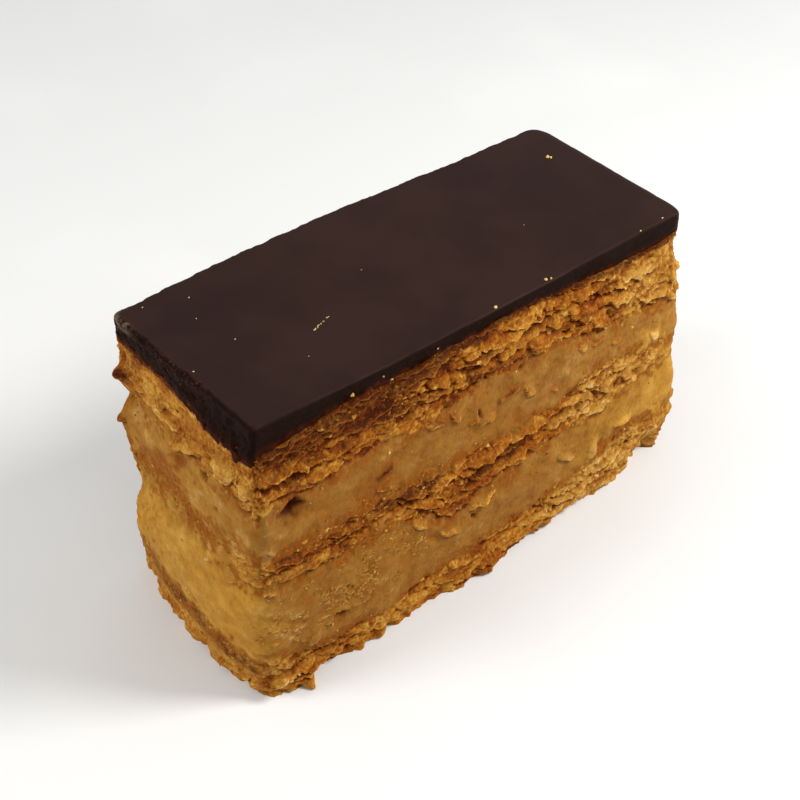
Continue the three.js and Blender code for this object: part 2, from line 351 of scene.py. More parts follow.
# About the middle crack
SHARDS += shards("front",
    (-41, 28.6, 6.4, 0.9, -0.1, 0.7, 0.35), (-29, 27.2, 4.4, 0.8, -0.15, 0.6, 0.4),
    (-39, 24.6, 4.5, 0.6, -0.1, 0.5, 0.7, 0.4), (-14.4, 26.6, 4.2, 0.9, -0.25, 1.1, 0.6),
    (-8.6, 26.4, 2.6, 0.8, 0.1, 1.1, 0.8), (0.5, 26, 4.6, 1.2, 0.15, 1.2, 0.6),
    (9.5, 26.3, 5.2, 0.8, 0.08, 1.2, 0.65), (8, 22.2, 4.6, 1, 0.1, 0.8, 0.6),
    (-3, 21.2, 3.4, 0.8, -0.2, 0.8, 0.5), (-12.4, 22.4, 3.4, 1, -0.35, 0.9, 0.65),
    (-15.4, 20, 1.6, 1.6, -0.5, 0.6, 0.6), (-9, 19, 3, 1.2, -0.5, 0.55, 0.6),
    (-1.8, 17, 3, 0.7, 0.15, 0.5, 0.85), (-9.2, 14.8, 2.2, 1, -0.4, 0.4, 0.7),
    (22.8, 25.2, 1.6, 1, -0.2, 0.75, 0.4), (28, 25, 1.7, 1.5, -0.3, 0.9, 0.4),
    (33.4, 24.6, 1.4, 1.5, -0.5, 0.75, 0.45), (25.6, 29.4, 4.8, 0.6, 0.05, 0.5, 0.5),
    (25.4, 21, 2.8, 0.9, 0, 0.5, 0.8),
)

# Lower cream and bottom pastry
SHARDS += shards("front",
    (32.4, 15, 2.4, 0.8, -0.04, 0.5, 0.9, 1), (-46.2, 29.6, 1.2, 0.9, 0.2, 0.6, 0.75, 0.3),
    (-44.4, 31.6, 1, 0.5, -0.2, 0.4, 0.7, 0.5), (-45.8, 23.6, 1.6, 0.8, -0.2, 0.6, 0.75, 0.2),
    (-46, 9.2, 1.4, 0.9, 0.2, 0.6, 0.8, 0.3), (-43.6, 7.2, 2, 0.8, -0.1, 0.7, 0.8),
    (-45.4, 4.2, 1.6, 1, 0.3, 0.9, 0.75), (18.2, 14.8, 2.2, 0.8, -0.5, 0.5, 0.7, 1),
    (25, 12.6, 1.4, 2.4, 0, 0.35, 0.6, 1), (-38, 10.2, 1.6, 1.4, 0.4, 0.4, 0.6, 1),
    (-40, 3.6, 5, 1, -0.1, 1, 0.6), (-39.6, 0.6, 1.5, 1.5, 0, 1.5, 0.7),
    (21, 5.4, 5.5, 1, 0, 0.8, 0.6),
    (29, 7.2, 4, 0.8, 0.1, 0.7, 0.75), (40, 9.6, 5, 0.8, 0, 1, 0.5),
)

# Near corner of the right end
SHARDS += shards("right",
    (-18.6, 48.2, 1.6, 0.6, 0, 0.8, 0.8), (-18.4, 45.4, 1.4, 0.5, 0.2, 0.9, 0.8),
    (-18.6, 41.4, 1.8, 0.6, -0.1, 0.9, 0.8), (-18.2, 36.6, 1.6, 0.6, 0.1, 0.7, 0.8),
    (-18.6, 12, 1.6, 0.7, 0.1, 0.8, 0.7), (-18.4, 8.4, 1.8, 0.8, -0.1, 1, 0.7),
)

# Left end
SHARDS += shards("left",
    (-10.5, 43.6, 3, 1.8, -0.2, 0.9, 0.85), (-15.6, 43.4, 1.2, 1.6, 0.3, 0.5, 0.75),
    (-0.6, 41.6, 4.4, 1.4, -0.25, 0.8, 0.75), (7.4, 46.6, 3, 1.4, 0.1, 0.6, 0.8),
    (-14.6, 29.4, 1.4, 0.7, -0.3, 0.3, 0.7, 0.4), (-16.2, 25.8, 1.3, 0.8, 0.2, 0.4, 0.65, 0.3),
    (-12.6, 22.8, 1, 0.6, -0.4, 0.3, 0.7, 0.6), (-15.8, 40.2, 1.6, 0.7, -0.3, 0.5, 0.7),
    (3, 43.8, 2.4, 1, 0.2, 0.5, 0.75), (12.4, 46, 2.2, 1.2, 0.2, 0.6, 0.6),
    (18.2, 45, 2.6, 1, 0, 0.7, 0.5), (18.4, 35.8, 2.2, 0.7, 0, 0.8, 0.4),
    (-9.5, 2.4, 2.4, 1, 0.1, 0.7, 0.7), (-14.8, 4.4, 1.8, 1.2, -0.2, 0.7, 0.75),
    (-2, 3, 3, 1.1, 0.05, 0.6, 0.6), (6, 3.4, 3, 1.2, 0.1, 0.6, 0.55),
    (-16.4, 1.6, 1.6, 1, -0.2, 0.9, 0.75),
)


def at(x, y, z):
    """A place in the frame, in metres."""
    return Vector((x * MM + SLAB_MIDDLE.x, y * MM + SLAB_MIDDLE.y, z * MM))


# ---------------------------------------------------------------- shape helpers

def blend(a, b, share):
    return a + (b - a) * share


def clamp(value, low=0.0, high=1.0):
    return max(low, min(high, value))


def ease(value, start, end):
    """0 before start, 1 after end, and a smooth rise between them."""
    share = clamp((value - start) / (end - start))
    return share * share * (3 - 2 * share)


def along(values, place):
    """A smooth curve through evenly spaced values, for a place from -1 to 1."""
    place = clamp((place + 1) / 2) * (len(values) - 1)
    i = min(int(place), len(values) - 2)
    t = place - i
    a = values[max(i - 1, 0)]
    b, c = values[i], values[i + 1]
    d = values[min(i + 2, len(values) - 1)]
    return b + 0.5 * t * (c - a + t * (2 * a - 5 * b + 4 * c - d + t * (3 * (b - c) + d - a)))


def noise_place(x, y, z, size, seed, flat):
    """Where to read noise so that its bumps have this size, flatter in height."""
    return Vector((x / size + seed, y / size - seed, flat * z / size + 0.7 * seed))


def wave(x, y, z, size, seed=0.0, flat=1.0):
    """Smooth noise between about -1 and 1."""
    return noise.noise(noise_place(x, y, z, size, seed, flat))


def crumple(x, y, z, size, seed, flat=1.0):
    """Relief with sharp crests, from about -1 in the hollows to 0.7 on the crests."""
    place = noise_place(x, y, z, size, seed, flat)
    return noise.ridged_multi_fractal(place, 0.9, 2.1, 4, 1.0, 2.0) - 1.1


def lumps(x, y, z, size, seed):
    """Crumbs pressed together: 1 on top of a crumb and 0 in the creases."""
    distances, _ = noise.voronoi(Vector((x / size + seed, y / size, z / size)))
    return clamp(1 - 1.5 * distances[0] ** 2)


# ---------------------------------------------------------------- the slice's outline

class Column:
    """A place on the slice's outline, with its outward direction and all that is near it."""

    def __init__(self, x, y, angle):
        self.x = x
        self.y = y
        self.nx = math.cos(angle)
        self.ny = math.sin(angle)
        # Where the cut side is near this column, so that nothing is stretched round a corner
        self.out_x = x + USUAL_REACH * self.nx
        self.out_y = y + USUAL_REACH * self.ny
        shares = (max(0, -self.nx), max(0, self.nx), max(0, -self.ny), max(0, self.ny))
        self.share = {side: share ** 2 for side, share in zip(SIDES, shares)}
        self.left, self.right, self.front, self.back = self.share.values()
        self.spine = clamp(x, -HALF_X + HALF_Y, HALF_X - HALF_Y)
        self.flare = sum(self.share[side] * along(FLARE[side], self.part(side)) for side in SIDES)
        self.bow = self.back * along(BACK_BOW, self.part("back"))
        self.faces = [layer_face(index, x, y) for index in range(-1, ICING)]
        # How much the knife has smeared cream over the leaves here
        self.smear = self.left * (0.15 + 0.85 * ease(y, -17, -9)) + 0.55 * self.right
        self.smear += 0.7 * self.front * ease(x, 35, 42)
        self.spots = list(self.near_spots())
        self.cracks = list(self.near_cracks())
        self.shards = list(self.crossing(LISTED_SHARDS))
        self.plates = {index: list(self.crossing(LISTED_PLATES[index])) for index in PASTRY}

    def run(self, side):
        """The place along a side, in millimetres."""
        return self.out_y if side in ("left", "right") else self.out_x

    def part(self, side):
        """The place along a side, from -1 to 1."""
        return self.run(side) / HALF[side]

    def near_spots(self):
        for spot in SPOTS:
            off = self.run(spot.side) - spot.run
            if self.share[spot.side] > 0.01 and abs(off) < 2.5 * max(spot.reach, spot.rise):
                turn = math.radians(spot.slant)
                yield spot, off, self.share[spot.side], math.cos(turn), math.sin(turn)

    def near_cracks(self):
        """The cracks that pass here: height of the edge, depth, and how far the shadow falls."""
        for seed, crack in enumerate(CRACKS):
            run = self.run(crack.side)
            begin, end = crack.line[0][0], crack.line[-1][0]
            if self.share[crack.side] < 0.3 or not begin - 1 < run < end + 1:
                continue
            z = crack_height(crack.line, run)
            z += 0.5 * wave(run, 0, 0, 2.6, seed) + 0.5 * wave(run, 0, 0, 0.8, seed)
            ends = ease(run, begin - 1, begin + 1.5) * (1 - ease(run, end - 1.5, end + 1))
            strength = clamp(1 + 0.9 * wave(run, 0, 0, 3.1, seed + 50), 0.25, 1.4)
            yield z, ends * strength * crack.depth, max(0.3, ends * crack.fall)

    def crossing(self, listed):
        """The plates that pass here: lower and upper edge, and how far the lip stands out."""
        side = max(SIDES, key=self.share.get)
        run = self.run(side)
        weight = self.share[side]
        for plate in listed[side, math.floor(run)]:
            off = run - plate.run
            across = abs(off / plate.reach)
            if across >= 1:
                continue
            spread = plate.rise * math.sqrt(1 - across ** 3)
            tongue = 0.9 * wave(run, 0, 0, 2.0, plate.seed)
            tongue += 0.25 * wave(run, 0, 0, 0.8, plate.seed)
            middle = plate.z + plate.slope * off
            low = middle - spread * (1 + tongue)
            high = middle + spread * (1 + 0.6 * wave(run, 9, 0, 2.0, plate.seed))
            lip = plate.stand * weight * (1 - 0.5 * across ** 2) * (1 + 0.5 * tongue)
            if high > low + 0.1:
                yield low, high, lip, plate.tint, plate.cream


def crack_height(line, run):
    for (run_a, z_a), (run_b, z_b) in zip(line, line[1:]):
        if run < run_b or (run_b, z_b) == line[-1]:
            return blend(z_a, z_b, clamp((run - run_a) / (run_b - run_a)))


def outline_columns(step):
    """Places round the slice, about a step apart, anticlockwise seen from above."""
    signs = ((1, -1), (1, 1), (-1, 1), (-1, -1))
    centres = [
        Vector((a * (HALF_X - radius), b * (HALF_Y - radius)))
        for (a, b), radius in zip(signs, CORNERS)
    ]
    columns = []
    for index, (centre, radius) in enumerate(zip(centres, CORNERS)):
        for k in range(CORNER_STEPS):
            angle = math.radians(90 * (index - 1 + k / CORNER_STEPS))
            x, y = centre + radius * Vector((math.cos(angle), math.sin(angle)))
            columns.append(Column(x, y, angle))
        angle = math.radians(90 * index)
        out = Vector((math.cos(angle), math.sin(angle)))
        begin = centre + radius * out
        end = centres[(index + 1) % 4] + CORNERS[(index + 1) % 4] * out
        count = round((end - begin).length / step)
        for k in range(count):
            x, y = begin.lerp(end, k / count)
            columns.append(Column(x, y, angle))
    return columns


def outline_place(side, run):
    """A place on the slice's outline."""
    if side in ("left", "right"):
        return (-HALF_X if side == "left" else HALF_X), run
    return run, (-HALF_Y if side == "front" else HALF_Y)


def layer_face(index, x, y):
    """Height of the upper face of a layer; index -1 is the table."""
    if index < 0:
        return 0.0
    layer = LAYERS[index]
    place = x / HALF_X
    height = blend(along(layer.front, place), along(layer.back, place), clamp(y / WIDTH + 0.5))
    if index != ICING:
        height += 0.4 * wave(x, y, 0, 5.5, layer.seed) + 0.3 * wave(x, y, 0, 1.7, layer.seed)
    return height


def base_reach(column, z):
    """How far the side stands out here, before any roughness."""
    return column.bow + (1 - z / HEIGHT) * column.flare


FADED = 5       # squared distance from a spot's middle, in reaches, where it is no longer felt


def local_shape(column, z):
    """What the spots and cracks do here: push of the surface, what they add to the tones, and
    how far this place lies in the shadow of a crack."""
    push = shadow = 0.0
    tones = [0.0] * len(TONES)
    x, y = column.out_x, column.out_y
    uneven = max(0.5, 1 + 0.7 * wave(x, y, z, 1.6, 71) + 0.5 * wave(x, y, z, 0.7, 72))
    for spot, off, weight, cosine, sine in column.spots:
        rise = z - spot.z
        a = (off * cosine + rise * sine) / spot.reach
        b = (rise * cosine - off * sine) / spot.rise
        size = (a * a + b * b) * uneven
        if size < FADED:
            share = weight * math.exp(-size)
            push += spot.push * share
            for tone, amount in spot.tones.items():
                tones[tone] += amount * share
    for edge, depth, fall in column.cracks:
        below = (edge - z) / fall
        if 0 < below < 1:
            share = (1 - below) ** 1.5
            shadow = max(shadow, share * clamp(depth))
            push -= depth * share
            # Painted shade below the crack's edge
            tones[PAINTED_SHADE] += 1.6 * depth * share
        elif -1 < below <= 0:
            push += 0.25 * depth * (1 + below) ** 2
            # A painted highlight on the lip just above the crack
            tones[RIM_HIGHLIGHT] += 0.6 * clamp(depth) * (1 + below) ** 4
    return push, tones, shadow


# ---------------------------------------------------------------- broken leaves

CRUMBLY = {BOTTOM: (8, 16), MIDDLE: (17, 23), TOP: (25, 34)}     # where the front turns crumbly


def crumbly(index, side, run):
    """How far the leaves have gone to crumbs, from 0 to 1."""
    if side == "left":
        return 0.2 + 0.2 * (1 - ease(run, -17, -11))
    if side == "right":
        return 0.7
    if side == "back":
        return 0.5 * ease(run, *CRUMBLY[index])
    return max(0.9 * ease(run, *CRUMBLY[index]), 0.4 * (1 - ease(run, -45, -39)))


COVERAGE = 1.86     # how far apart the plates lie for their size

# Half width, half height and stand of a plate: range of a leaf, more for a big one, and the same
# of a crumb
PLATE_SIZES = (
    ((1.2, 2.6), 2.8, (0.5, 1.0), 1.6),
    ((0.4, 0.75), 0.4, (0.25, 0.45), 0.3),
    ((0.25, 0.6), 0.5, (0.15, 0.35), 0.2),
)


def scatter_plates(index, rng):
    """Broken leaves over all four sides of a pastry layer, in rows a pitch apart."""
    layer = LAYERS[index]
    plates = []
    for side in SIDES:
        half = HALF[side]
        run = -half - USUAL_REACH
        while run < half + USUAL_REACH:
            x, y = outline_place(side, clamp(run, -half, half))
            low, high = layer_face(index - 1, x, y), layer_face(index, x, y)
            grain = crumbly(index, side, run)
            row = rng.uniform(-0.3, (high - low) / layer.pitch + 0.3)
            row = blend(math.floor(row) + 0.5, row, 0.5 + 0.5 * grain)
            z = low + layer.pitch * (row + 0.9 * wave(x, y, 0, 14, layer.seed))
            big = rng.random() ** 2
            reach, rise, stand_out = (
                blend(rng.uniform(*leaf) + wider * big, rng.uniform(*crumb) + coarser * big, grain)
                for leaf, wider, crumb, coarser in PLATE_SIZES
            )
            slope = rng.gauss(-0.05, 0.15 + 0.05 * grain)
            tint = clamp(rng.gauss(0.5 + 0.1 * grain, 0.26))
            cream = rng.choice((0.0, 0.0, 0.3, 0.7))
            seed = rng.uniform(0, 99)
            plates.append(Plate(side, run, z, reach, rise, slope, stand_out, tint, cream, seed))
            run += COVERAGE * reach * rise / (high - low)
    return plates


def in_swarm(run, z):
    """Whether a place on the front is in one of the loose swarms of flecks and granules."""
    return wave(run, 0, z, 4.0, 44) > -0.1


FLECK_COUNT = 110


def scatter_flecks(rng):
    """Small glistening flecks in the left half of the lower cream, in loose swarms."""
    flecks = []
    while len(flecks) < FLECK_COUNT:
        run, z = rng.gauss(-32, 8), rng.gauss(15.5, 3.2)
        if -46 < run < -14 and 9 < z < 21.5 and in_swarm(run, z):
            flecks.append(shard("front", run, z, rng.uniform(0.35, 0.8), rng.uniform(0.2, 0.36),
                                rng.gauss(-0.3, 0.25), rng.uniform(0.12, 0.28), 0.8, 1.0))
    return flecks


def by_place(plates):
    """The plates, listed under each millimetre of a side that they reach."""
    listed = defaultdict(list)
    for plate in plates:
        first = math.floor(plate.run - plate.reach)
        last = math.floor(plate.run + plate.reach)
        for cell in range(first, last + 1):
            listed[plate.side, cell].append(plate)
    return listed


PLATE_SEED = 5
PLATE_DICE = random.Random(PLATE_SEED)
LISTED_PLATES = {index: by_place(scatter_plates(index, PLATE_DICE)) for index in PASTRY}
LISTED_SHARDS = by_place(SHARDS + scatter_flecks(PLATE_DICE))


SHADE_FALL = 1.1    # how far down the shade of a lip reaches


def overlapping(plates, z):
    """The plate that stands out furthest at this height: how far, how near the height is to its
    lip, its tint and cream, and how deep this place lies in the shade of the lip above it."""
    out, lip, tint, cream, shade = 0.0, 0.0, 0.5, 0.0, 0.0
    for low, high, stand_out, own, made_of in plates:
        if low <= z <= high:
            part = (z - low) / (high - low)
            reach = stand_out * (1 - 0.8 * part ** 1.4) * (0.6 + 0.4 * ease(part, 0, 0.2))
            if reach > out:
                out, lip, tint, cream = reach, 1 - part, own, made_of
        elif low - SHADE_FALL < z < low:
            shade = max(shade, stand_out * (1 - (low - z) / SHADE_FALL))
    return out, lip, tint, cream, max(0.0, shade - out)


# ---------------------------------------------------------------- layer bodies

TREES = []              # shapes of the pastry and cream layers, for placing what sticks to them
ICING_TREE = []         # and of the icing
COLUMNS = {}            # the slice's outline at each mesh step
SAME_PLACE = 0.002      # vertices closer than this are merged
RING_CROWDING = 2.2     # how closely a face's rings crowd towards the sides


def inset_rings(steps):
    """Distances in from the side, as parts of the way to the slice's middle line."""
    return [(step / steps) ** RING_CROWDING for step in range(1, steps + 1)]


def ring_body(step, rows, place, inner=FACE_RINGS):
    """A closed body round the whole slice, with this many rows up its side and rings on each
    face. place(column, rise, inset) gives a point and tones: rise goes from 0 to 1 up the side,
    and inset from 0 at the side to 1 at the middle line."""
    if step not in COLUMNS:
        COLUMNS[step] = outline_columns(step)
    columns = COLUMNS[step]
    rings = [(0.0, inset) for inset in reversed(inset_rings(inner))]
    rings += [(row / rows, 0.0) for row in range(rows + 1)]
    rings += [(1.0, inset) for inset in inset_rings(inner)]
    body = bmesh.new()
    carried = [body.verts.layers.float.new(tone) for tone in TONES]
    bmesh.ops.create_grid(body, x_segments=len(columns), y_segments=len(rings) - 1, size=1.0)
    for vert in body.verts:
        column = columns[round((vert.co.x + 1) / 2 * len(columns)) % len(columns)]
        rise, inset = rings[round((vert.co.y + 1) / 2 * (len(rings) - 1))]
        point, tones = place(column, rise, inset)
        vert.co = at(*point)
        for layer, value in zip(carried, tones):
            vert[layer] = clamp(value)
    bmesh.ops.remove_doubles(body, verts=body.verts, dist=SAME_PLACE * MM)
    bmesh.ops.recalc_face_normals(body, faces=body.faces)
    return body


def linked(name, data):
    """A new object in the scene."""
    made = bpy.data.objects.new(name, data)
    bpy.context.collection.objects.link(made)
    return made


def finish_piece(name, body, sharp=180):
    """Makes an object of the shape, with an edge left sharp where it turns more than this."""
    limit = math.radians(sharp)
    for edge in body.edges:
        edge.smooth = edge.calc_face_angle(0.0) < limit
    for face in body.faces:
        face.smooth = True
    mesh = bpy.data.meshes.new(name)
    body.to_mesh(mesh)
    body.free()
    return linked(name, mesh)


def stand(piece, node, slot, finish):
    """Puts a finished piece in place of its CAD node."""
    piece.data.materials.append(finish)
    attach(piece, "root")
    if node:
        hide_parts(node)


def inward(column, x, y, inset):
    """A place of the side, moved this part of the way to the slice's middle line."""
    return blend(x, column.spine, inset), blend(y, 0.0, inset)


SMEARED = {BOTTOM: 0.6, MIDDLE: 3.4, TOP: 1.6}      # how much cream covers a layer's smeared ends


def pastry_depth(column, z):
    """The nearest pastry layer, and how deep inside it this height is, or how far outside it if
    negative."""
    faces = column.faces
    bands = {
        BOTTOM: faces[BOTTOM + 1] - z,
        MIDDLE: min(z - faces[MIDDLE], faces[MIDDLE + 1] - z),
        TOP: z - faces[TOP],
    }
    index = max(bands, key=bands.get)
    return index, bands[index]


def cream_side(x, y, z, curd):
    """Cream has broad smears with edges, fine streaks along the knife's way, and curds near the
    pastry: how far it stands out, and its tint."""
    drag = z + 0.12 * x
    smear = wave(x, y, drag, 4.0, 3, 1.5)
    streak = wave(x, y, drag, 1.7, 6, 1.5)
    relief = 0.3 * wave(x, y, z, 8, 2) + 0.1 * math.tanh(smear * 3) + 0.1 * streak
    relief += 0.07 * crumple(x, y, z, 1.3, 7, 1.3)
    relief += curd * (0.16 * crumple(x, y, z, 2.2, 8) + 0.14 * wave(x, y, z, 0.8, 9))
    return relief, 0.5 + 0.4 * smear + 0.25 * streak


def pastry_side(column, index, z, smeared, shadow):
    """Pastry has broken leaves over rough hollows: how far it stands out, its tones, and how
    much the leaf here is made of cream."""
    x, y = column.out_x, column.out_y
    seed = LAYERS[index].seed
    grain = crumb_share(index, column)
    out, lip, own, made_of, shade = overlapping(column.plates[index], z)
    out *= 1 - 0.8 * shadow
    rough = crumple(x, y, z, 3.0, seed, 1.8)
    fine = crumple(x, y, z, 0.9, seed, 1.2)
    knob = wave(x, y, z, 0.9, seed + 7)
    band = wave(x, y, z, 4.5, seed + 20, 2.6)
    crumb = lumps(x, y, 1.8 * z, 1.1, seed)
    flat = 1 - 0.6 * min(1.0, smeared)
    flat *= 1 - (0.7 if index == BOTTOM else 0.4) * column.left
    hollow = 0.35 - 0.15 * grain
    smooth = ease(out, 0.1, 0.5) * (1 - grain)
    relief = flat * (out - hollow + 0.25 * rough + 0.2 * knob)
    relief += (blend(0.12, 0.05, smooth) * fine + 0.3 * grain * crumb) * (1 - 0.4 * column.left)
    grit = blend(blend(0.45, 0.15, smooth) * (fine + 0.5), 0.6 * (crumb - 0.5), grain)
    # Painted shade in the hollows between leaves and under the lip above
    painted_gap_shade = 1.1 * shade + 0.9 * ease(-out - 0.3 * rough, -0.3, 0.3)
    tint = 0.17 + 0.65 * own + 0.25 * knob + 0.3 * band + grit
    tones = {
        PAINTED_SHADE: flat * (1 - 0.5 * grain) * painted_gap_shade,
        # A painted highlight on a leaf's lower lip, which is also dry and broken
        RIM_HIGHLIGHT: flat * ease(out, 0.2, 0.7) * ease(lip, 0.6, 1.0),
        STAIN: 0.0 if index == BOTTOM else 0.5 * ease(-band, 0.1, 0.5) * (1 - grain),
        TINT: tint + (0.12 if index == BOTTOM else 0.0),
        PALE: grain,
    }
    return relief, tones, made_of


def cut_side(column, z):
    """The cut side at this height: how far it stands out, and its tones."""
    x, y = column.out_x, column.out_y
    index, depth = pastry_depth(column, z)
    push, tones, shadow = local_shape(column, z)
    edge_noise = 1.5 * wave(x, y, z, 4.5, 31, 1.7) + 1.2 * wave(x, y, z, 1.5, 32, 1.4)
    smeared = column.smear
    if index == MIDDLE:
        smeared += 0.55 * column.front * (1 - ease(x, -24, -10))
    buried = depth + edge_noise - SMEARED[index] * smeared
    pastry = ease(buried, -0.5, 0.7)
    fade = 3.5 + (3.0 * column.left if index == MIDDLE else 0.0)
    curd = ease(buried + 0.6 * SMEARED[index] * smeared, -fade, 0.5)
    relief, tint = cream_side(x, y, z, curd)
    covered = pale = 0.0
    if pastry > 0:
        leaf, own_tones, made_of = pastry_side(column, index, z, smeared, shadow)
        relief = blend(relief, leaf, pastry)
        tint = blend(tint, own_tones[TINT], pastry)
        pale = own_tones[PALE] * pastry
        covered = 0.6 * made_of
        for tone in (PAINTED_SHADE, RIM_HIGHLIGHT, STAIN):
            tones[tone] += pastry * own_tones[tone]

    # Single broken leaves, which come out of whatever is above them
    out, lip, own, made_of, shade = overlapping(column.shards, z)
    if out > 0:
        share = ease(lip, 0.0, 0.6)
        relief = blend(relief, 0.3 * relief + 0.8 * out, share)
        pastry = blend(pastry, 1 - made_of, 0.9 * share)
        tint = blend(tint, own + 0.3 * wave(x, y, z, 0.9, 12), share)
        covered *= 1 - share
        # A painted highlight on the shard's lip; the painted shade fades where the shard stands
        # out, and painted shade falls under its lip
        tones[RIM_HIGHLIGHT] += 0.9 * ease(lip, 0.6, 1.0)
        tones[PAINTED_SHADE] *= 1 - 0.8 * share
    tones[PAINTED_SHADE] += 1.1 * shade
    tones[CREAM] += 1 - pastry * (1 - covered)
    tones[TINT] += tint
    tones[PALE] += pale + (1 - pastry) * cream_gold(column, z)
    tones[STAIN] += (1 - pastry) * cream_stain(column, z, curd) + soak(index, column, z)
    return base_reach(column, z) + relief + push, tones


def cream_stain(column, z, curd):
    """How brown the cream is: among its curds, and in blotches high on the left end."""
    x, y = column.out_x, column.out_y
    mottle = 1.6 * wave(x, y, z, 2.8, 9, 1.2) + 1.1 * wave(x, y, z, 1.0, 10)
    blotch = wave(x, y, z, 3.4, 42) + 0.6 * wave(x, y, z, 1.3, 43)
    high = 0.7 * column.left * ease(z, 24, 28) * ease(blotch, 0.05, 0.6)
    return clamp(curd * (0.75 - 0.2 * column.left + mottle)) + high


# How loose the crumbs of each side are; on the right end cream binds them
LOOSE = {"left": 1.0, "right": 0.4, "front": 1.0, "back": 1.0}


def crumb_share(index, column):
    """How far the leaves have gone to crumbs here."""
    return max(
        column.share[side] * crumbly(index, side, column.run(side)) * LOOSE[side] for side in SIDES
    )


def cream_gold(column, z):
    """How golden the cream is: most at the two ends and to the right of the front."""
    front = column.front * (0.5 * ease(column.x, 5, 30) + 0.5 * ease(column.x, 34, 42))
    low = 1 - 0.6 * ease(z, 22, 30)
    ends = 0.9 * column.left + column.right
    return low * (ends + front) + 0.4 * column.back


SOAKED = (0.35, 1.0, 0.25, 0.0, 0.0)     # how much chocolate has run into the front, along it


def soak(index, column, z):
    """Chocolate that has run down into the pastry, and the brown upper part of the base."""
    x, y = column.out_x, column.out_y
    if index == TOP:
        under = column.faces[TOP + 1] - z
        reach = 0.4 + 2.4 * column.front * along(SOAKED, x / HALF_X)
        reach *= 1 + wave(x, y, z, 2.5) + 0.9 * wave(x, y, z, 0.9)
        return 1.1 * clamp(1.5 - under / max(0.3, reach))
    if index == BOTTOM:
        under = column.faces[BOTTOM + 1] - z
        band = ease(under, -1.0, 1.2) * (1 - ease(under, 2.2, 4.6))
        return (0.2 + 0.3 * column.left) * band
    return 0.0


def swell(index, column, rise):
    """Cream bulges between the layers, most at the ends."""
    ends = column.left + column.right
    return (0.4 + 0.6 * ends if index == LOWER else 0.15) * 4 * rise * (1 - rise)


TUCK = 1.4              # how far the hidden edges of a layer are drawn in under its neighbours
UNDER_ICING = 0.3       # how far the top pastry reaches up into the icing


def layer_place(index):
    """A layer's body, whose side follows the cut side and dives under its neighbours'."""
    def place(column, rise, inset):
        low = column.faces[index] - (OVERLAP if index > BOTTOM else 0)
        high = column.faces[index + 1] + (OVERLAP if index < TOP else UNDER_ICING)
        z = blend(low, high, rise)
        out, tones = cut_side(column, z)
        if index > BOTTOM:
            out -= TUCK * (1 - ease(z - low, 0, OVERLAP))
        if index < TOP:
            out -= TUCK * (1 - ease(high - z, 0, OVERLAP))
        if index in (LOWER, UPPER):
            out += swell(index, column, clamp((z - low - OVERLAP) / (high - low - 2 * OVERLAP)))
        elif index == BOTTOM:
            out -= ragged_base(column, z)
        x, y = column.x + column.nx * out, column.y + column.ny * out
        if inset > 0:
            x, y = inward(column, x, y, inset)
            z = blend(z, layer_face(index - 1 if rise == 0 else index, x, y), ease(inset, 0, 0.1))
        return (x, y, z), tones

    return place


def ragged_base(column, z):
    """The lowest leaves end in teeth."""
    x, y = column.out_x, column.out_y
    tooth = 0.2 + 0.9 * wave(x, y, 0, 4.0, 61) + 0.25 * wave(x, y, 0, 1.3, 62)
    return 1.5 * clamp(tooth) * (1 - ease(z, 0.4, 2.8))


# How widely the icing's upper edge is rounded on each side
ICING_EDGE = {"left": 0.6, "right": 1.9, "front": 0.22, "back": 0.5}


def icing_place(column, rise, inset):
    """The icing's body. Its tones are its side, which the finish paints darker than the top as
    painted shade, a painted highlight along its upper front edge, soaked lower edge, none, rough
    left end and scuffed left edge."""
    edge = sum(column.share[side] * ICING_EDGE[side] for side in SIDES)
    x, y = column.x, column.y
    left, right = column.left, column.right
    out = column.bow + 0.12 * wave(x, y, 0, 6, 4) + 0.08 * wave(x, y, 30 * rise, 1.6, 4)
    out += column.back * (0.25 * wave(x, y, 0, 3, 7) + 0.15 * crumple(x, y, 0, 1.4, 8))
    out += left * 0.3 * crumple(x, y, 12 * rise, 2.4, 5) + 0.7 * right
    ragged = crumple(x, y, 0, 1.5, 9) * (1 - 0.8 * ease(x, -14, 4))
    low = layer_face(TOP, x, y) + ragged + 0.45 * wave(x, y, 0, 2.6, 4)
    # Icing hangs down a little over the near part of the left end
    hang = left * (1 - ease(y, -8, 5))
    low -= 1.2 * hang
    out += 0.9 * hang * (1 - ease(rise, 0.1, 0.7))
    depth = inset * HALF_Y
    x, y = inward(column, x + column.nx * out, y + column.ny * out, inset)
    high = layer_face(ICING, x, y) + 0.06 * wave(x, y, 0, 8, 3)
    if depth < edge:
        high -= edge - math.sqrt(max(0.0, edge ** 2 - (edge - depth) ** 2))
    # The side marks the cut side, which the finish paints darker as painted shade and leaves
    # without coat
    side = (1 - ease(depth, 0.3 * edge, 1.2 * edge)) * (1 - 0.8 * right)
    if inset > 0:
        z = high if rise > 0 else layer_face(TOP, x, y) - 0.25
    else:
        z = blend(low, high, rise)
        side = 1.0
    # A painted highlight along the upper front edge
    rim = ease(rise, 0.9, 1.0) * (1 - ease(depth, 0.05, 0.3)) * column.front
    soaked = (1 - ease(rise, 0.0, 0.35)) * (1 - ease(inset, 0, 0.01))
    soaked *= 0.6 + wave(x, y, z, 0.8, 5)
    scuff = ease(y + 0.3 * x, -1.2, 1.5) * (1 - ease(x, -43.6, -42.0)) * ease(rise, 0.4, 0.9)
    scuff *= ease(wave(x, y, z, 0.9, 8) + 0.15, -0.1, 0.3) * (1 - ease(depth, 0.2, 0.7))
    rough = left * ease(rise, 0.3, 0.8) * (1 - ease(depth, 0.3, 1.2)) * ease(y, -9, -4)
    return (x, y, z), (side, rim, soaked, 0.0, rough, scuff)


# ---------------------------------------------------------------- flakes and crumbs

